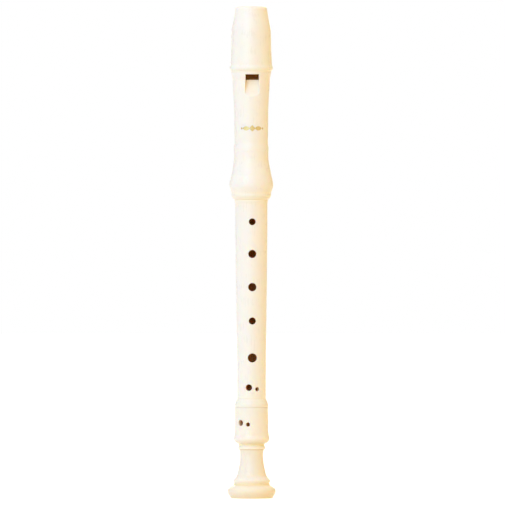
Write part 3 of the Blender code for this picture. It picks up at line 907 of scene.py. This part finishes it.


# the hollow mask is painted warm shade down hollows, seams and recesses
def mark_hollows(obj, seams=(), rim=0.0):
    """Stores how far each point lies below the run of the outline, or down a seam or a recess."""
    r, _, z = points_of(obj.data)
    skin = np.interp(z, HEIGHTS, OUTLINE)
    value = np.clip((np.interp(z, HEIGHTS, NEAR) - skin - 0.02) * 0.85, 0.0, 0.5)
    value += np.clip((np.interp(z, HEIGHTS, FAR) - skin - 0.1) * 0.14, 0.0, 0.25)
    for height in (204.0, 199.4, 66.35):
        value *= 1.0 - 0.6 * np.clip(1.3 - np.abs(z - height) / 1.2, 0.0, 1.0)
    # rim adds the same warm tint towards the bell's lower end
    value += rim * np.clip((13.5 - z) / 5.0, 0.0, 1.0)
    sunk = np.clip(skin - r - 0.05, 0.0, None)
    seam = np.zeros_like(z)
    for height in seams:
        seam = np.maximum(seam, np.clip(1.0 - np.abs(z - height) / 0.3, 0.0, 1.0))
    value += seam * np.clip(sunk * 1.5, 0.0, 0.5) + (1.0 - seam) * np.clip(sunk * 0.07, 0.0, 0.4)
    store(obj.data, "hollow", np.clip(value, 0.0, 1.0))


# the inside mask drives the painted glow in the holes and the painted shade in the bore
def mark_inside(obj, bore, skin, ends, reach=22.0, front=-30.0, most=1.0):
    """Stores how deep each point lies in the bore or down a hole: 0 at the skin, 1 at the bore.

    bore and skin are radii, or functions of height; ends are the heights of the
    bore's open ends, where the tint fades out.
    """
    r, y, z = points_of(obj.data)
    inner = bore(z) if callable(bore) else bore
    outer = skin(z) if callable(skin) else skin
    value = np.clip((outer - 0.2 - r) / np.maximum(outer - 0.2 - inner, 0.2) * 1.6, 0.0, 1.0)
    value *= y > front
    for end in ends:
        value *= np.clip(np.abs(z - end) / reach, 0.0, 1.0)
    store(obj.data, "inside", value * most)


def mark_edges(obj):
    """Stores the painted light beside the seams and on the ramp's floor, and where the plastic ends: beside the
    seams, and on the ramp's floor.
    """
    r, y, z = points_of(obj.data)
    sunk = np.interp(z, HEIGHTS, OUTLINE) - r
    value = np.zeros_like(z)
    for height, below, above, most in SEAM_PAINTED_LIGHT:
        away = np.where(z > height, (z - height) / above, (height - z) / below)
        value = np.maximum(value, most * np.clip(1.0 - away, 0.0, 1.0))
    value *= sunk < 0.8
    on_ramp = (y < -6.3) & (z > 263.0) & (z < 279.3) & (sunk > 0.3)
    # painted light on the ramp's floor, growing with its depth below the skin
    value = np.maximum(value, np.where(on_ramp, 0.35 * np.clip(sunk / 3.5, 0.0, 1.0), 0.0))
    store(obj.data, "edge", value)
    ending = np.zeros_like(z)
    for height, most in ENDS:
        ending = np.maximum(ending, most * np.clip(1.25 - np.abs(z - height) / 1.5, 0.0, 1.0))
    ending = np.where(sunk < 0.8, ending, 0.0)
    ending = np.maximum(ending, np.where(on_ramp, 0.9 * np.clip(sunk / 4.0, 0.0, 1.0), 0.0))
    store(obj.data, "ending", ending)


def mark_ramp_walls(obj):
    """The ramp's side walls are thin at the skin; they get a painted amber shadow, full on the left wall and
    faint on the right, and lose their painted light.
    """
    mesh = obj.data
    r, y, z = points_of(mesh)
    co = np.empty(len(mesh.vertices) * 3)
    mesh.vertices.foreach_get("co", co)
    x = co[0::3] / MM
    sunk = np.interp(z, HEIGHTS, OUTLINE) - r
    wall = (np.abs(np.abs(x) - 4.65) < 0.5) & (y < -6.3) & (z > 268.0) & (z < 279.3) & (sunk > 0.25)
    # painted shadow: the left wall, turned away from the key light, takes it in full
    deep = np.clip((z - 270.0) / 7.5, 0.0, 1.0) * np.where(x < 0.0, 1.0, 0.15) * wall
    for name, most in (("hollow", 1.0), ("inside", 0.085)):
        layer = mesh.attributes[name]
        value = np.empty(len(mesh.vertices), dtype=np.float32)
        layer.data.foreach_get("value", value)
        layer.data.foreach_set("value", np.maximum(value, most * deep).astype(np.float32))
    layer = mesh.attributes["edge"]
    value = np.empty(len(mesh.vertices), dtype=np.float32)
    layer.data.foreach_get("value", value)
    layer.data.foreach_set("value", (value * (1.0 - deep)).astype(np.float32))


# painted light beside each seam: height, how far down and up it shows, how strong
SEAM_PAINTED_LIGHT = ((284.1, 1.2, 2.2, 0.0), (204.1, 1.2, 2.8, 0.0), (199.3, 1.4, 1.2, 0.1))
ENDS = ((284.0, 0.7), (204.0, 0.75), (199.0, 0.75), (66.35, 0.65), (60.62, 0.6), (32.3, 0.85))
SEAMS = (284.0, 204.0, 199.0, 66.35, 60.62, 32.3)
for piece in (beak, block, barrel, head_ring, middle, foot_ring, foot):
    mark_hollows(piece, SEAMS)
mark_hollows(bell, SEAMS, rim=0.33)
for piece in (beak, block, barrel, head_ring, middle, foot_ring, foot, bell):
    mark_edges(piece)
mark_inside(barrel, 6.8, 8.6, (219.6,), front=-6.45)
mark_ramp_walls(barrel)
mark_inside(middle, lambda z: np.interp(z, (53.9, 219.0), (5.45, 6.45)),
            lambda z: np.where((z > 67.0) & (z < 198.0), middle_r(z), 7.0), (53.9, 219.0))
mark_inside(foot, 5.2, lambda z: np.where((z > 40.0) & (z < 53.2), foot_r(z), 6.0), (), most=0.45)
mark_inside(bell, 5.3, 6.5, (0.0,), 34.0)


# ------------------------------------------------------------------- placing
for piece, body, cad, slot in (
        (beak, "head", "beak", "ivory_plastic"),
        (block, "head", "block", "block_plastic"),
        (barrel, "head", "head_barrel", "ivory_plastic"),
        (head_ring, "head", "head_socket_ring", "ivory_plastic"),
        (head_seals[0], "head_seals", "head_seal_upper", "seal_rubber"),
        (head_seals[1], "head_seals", "head_seal_lower", "seal_rubber"),
        (middle, "middle", "middle_joint", "ivory_plastic"),
        (foot_seal, "foot_seals", "foot_seal", "seal_rubber"),
        (foot_ring, "foot", "foot_socket_ring", "ivory_plastic"),
        (foot, "foot", "foot_body", "ivory_plastic"),
        (bell, "foot", "foot_bell", "ivory_plastic")):
    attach(piece, body)
    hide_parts(cad)
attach(mark, "head")


# -------------------------------------------------------------- floor, light
def floor():
    """A wide round floor of plain pale board."""
    bm = bmesh.new()
    rings = [[bm.verts.new((r * math.cos(2 * math.pi * i / 96), r * math.sin(2 * math.pi * i / 96), -0.0001))
              for i in range(96)] for r in (0.05, 0.2, 0.8, 3.0, 12.0)]
    bm.faces.new(rings[0])
    for a, b in zip(rings, rings[1:]):
        for i in range(96):
            j = (i + 1) % 96
            bm.faces.new((a[i], b[i], b[j], a[j]))
    mat = bpy.data.materials.new("pale_floor")
    mat.use_nodes = True
    tree = mat.node_tree
    shader = tree.nodes["Principled BSDF"]
    coords = node(tree, "ShaderNodeTexCoord")
    noise = node(tree, "ShaderNodeTexNoise")
    noise.inputs["Scale"].default_value = 3.0
    tree.links.new(coords.outputs["Object"], noise.inputs["Vector"])
    ramp = node(tree, "ShaderNodeValToRGB")
    ramp.color_ramp.elements[0].color = (0.88, 0.88, 0.88, 1.0)
    ramp.color_ramp.elements[1].color = (0.92, 0.92, 0.92, 1.0)
    tree.links.new(noise.outputs["Fac"], ramp.inputs["Fac"])
    tree.links.new(ramp.outputs["Color"], shader.inputs["Base Color"])
    shader.inputs["Roughness"].default_value = 0.9
    shader.inputs["Specular IOR Level"].default_value = 0.1
    shader.inputs["Emission Color"].default_value = (1.0, 1.0, 1.0, 1.0)
    shader.inputs["Emission Strength"].default_value = 0.47
    obj = new_object("studio_floor", bm, [mat])
    obj.visible_diffuse = False      # a white sweep would wash out the hollows


def studio_world():
    """A white studio: bright in front, above and to the left, dimmer to the right and behind."""
    world = bpy.data.worlds.new("studio")
    bpy.context.scene.world = world
    world.use_nodes = True
    tree = world.node_tree
    tree.nodes.clear()
    link = tree.links.new
    out = node(tree, "ShaderNodeOutputWorld")
    seen = node(tree, "ShaderNodeBackground")
    seen.inputs["Color"].default_value = (1.0, 1.0, 1.0, 1.0)
    seen.inputs["Strength"].default_value = 1.0
    glow = node(tree, "ShaderNodeBackground")
    path = node(tree, "ShaderNodeLightPath")
    mix = node(tree, "ShaderNodeMixShader")
    coords = node(tree, "ShaderNodeTexCoord")
    dot = node(tree, "ShaderNodeVectorMath", operation="DOT_PRODUCT")
    dot.inputs[1].default_value = (0.85, -0.15, -0.5)
    link(coords.outputs["Generated"], dot.inputs[0])
    ramp = node(tree, "ShaderNodeValToRGB")
    ramp.color_ramp.interpolation = "EASE"
    stops = ((0.0, (1.14, 1.105, 1.05)), (0.5, (1.16, 1.00, 0.76)),
             (0.75, (1.13, 0.87, 0.46)), (1.0, (1.06, 0.75, 0.28)))
    while len(ramp.color_ramp.elements) < len(stops):
        ramp.color_ramp.elements.new(0.5)
    for element, (place, colour) in zip(ramp.color_ramp.elements, stops):
        element.position = place
        element.color = (*colour, 1.0)
    spread = node(tree, "ShaderNodeMapRange")
    spread.inputs["From Min"].default_value = -1.0
    spread.inputs["From Max"].default_value = 1.0
    link(dot.outputs["Value"], spread.inputs["Value"])
    link(spread.outputs["Result"], ramp.inputs["Fac"])
    apart = node(tree, "ShaderNodeSeparateXYZ")
    link(coords.outputs["Generated"], apart.inputs["Vector"])
    behind = node(tree, "ShaderNodeMapRange", interpolation_type="SMOOTHSTEP")
    behind.inputs["From Min"].default_value = 0.1
    behind.inputs["From Max"].default_value = 0.9
    behind.inputs["To Min"].default_value = 1.0
    behind.inputs["To Max"].default_value = 0.6
    link(apart.outputs["Y"], behind.inputs["Value"])
    dimmed = node(tree, "ShaderNodeVectorMath", operation="SCALE")
    link(ramp.outputs["Color"], dimmed.inputs[0])
    link(behind.outputs["Result"], dimmed.inputs["Scale"])
    link(dimmed.outputs["Vector"], glow.inputs["Color"])
    glow.inputs["Strength"].default_value = 1.0
    link(path.outputs["Is Camera Ray"], mix.inputs["Fac"])
    link(glow.outputs["Background"], mix.inputs[1])
    link(seen.outputs["Background"], mix.inputs[2])
    link(mix.outputs["Shader"], out.inputs["Surface"])


def softbox(name, at, aim, size, power, colour=(1.0, 1.0, 1.0)):
    data = bpy.data.lights.new(name, "AREA")
    data.shape = "RECTANGLE"
    data.size, data.size_y = size
    data.energy = power
    data.color = colour
    obj = bpy.data.objects.new(name, data)
    obj.location = at
    obj.rotation_euler = (Vector(aim) - Vector(at)).to_track_quat("-Z", "Y").to_euler()
    bpy.context.scene.collection.objects.link(obj)


floor()
studio_world()
softbox("key", (-0.98, -1.92, 0.96), (0, 0, 0.17), (1.6, 1.6), 21.0, (0.20, 0.56, 1.0))
softbox("back", (0.15, 2.3, 0.9), (0, 0, 0.17), (1.2, 1.2), 13.0, (1.0, 0.92, 0.74))

scene = bpy.context.scene
scene.view_settings.view_transform = "Standard"
scene.view_settings.look = "None"
scene.view_settings.exposure = 0.0
scene.view_settings.gamma = 1.0

# -------------------------------------------------------------------- camera
AZIMUTH = math.radians(-3.6)
DISTANCE = 6.0
SPAN = 0.33700              # height of the frame at the recorder
data = bpy.data.cameras.new("camera")
data.type = "PERSP"
data.sensor_fit = "HORIZONTAL"
data.sensor_width = 36.0
data.lens = 36.0 * DISTANCE / SPAN
data.clip_start, data.clip_end = 0.1, 60.0
camera = bpy.data.objects.new("camera", data)
right = Vector((math.cos(AZIMUTH), math.sin(AZIMUTH), 0.0))
away = Vector((math.sin(AZIMUTH), -math.cos(AZIMUTH), 0.0))
aim = Vector((0, 0, 0.1639)) + right * 0.00074
camera.location = aim + away * DISTANCE
camera.rotation_euler = (-away).to_track_quat("-Z", "Y").to_euler()
camera.rotation_euler.rotate_axis("Z", math.radians(-0.065))
scene.collection.objects.link(camera)
scene.camera = camera
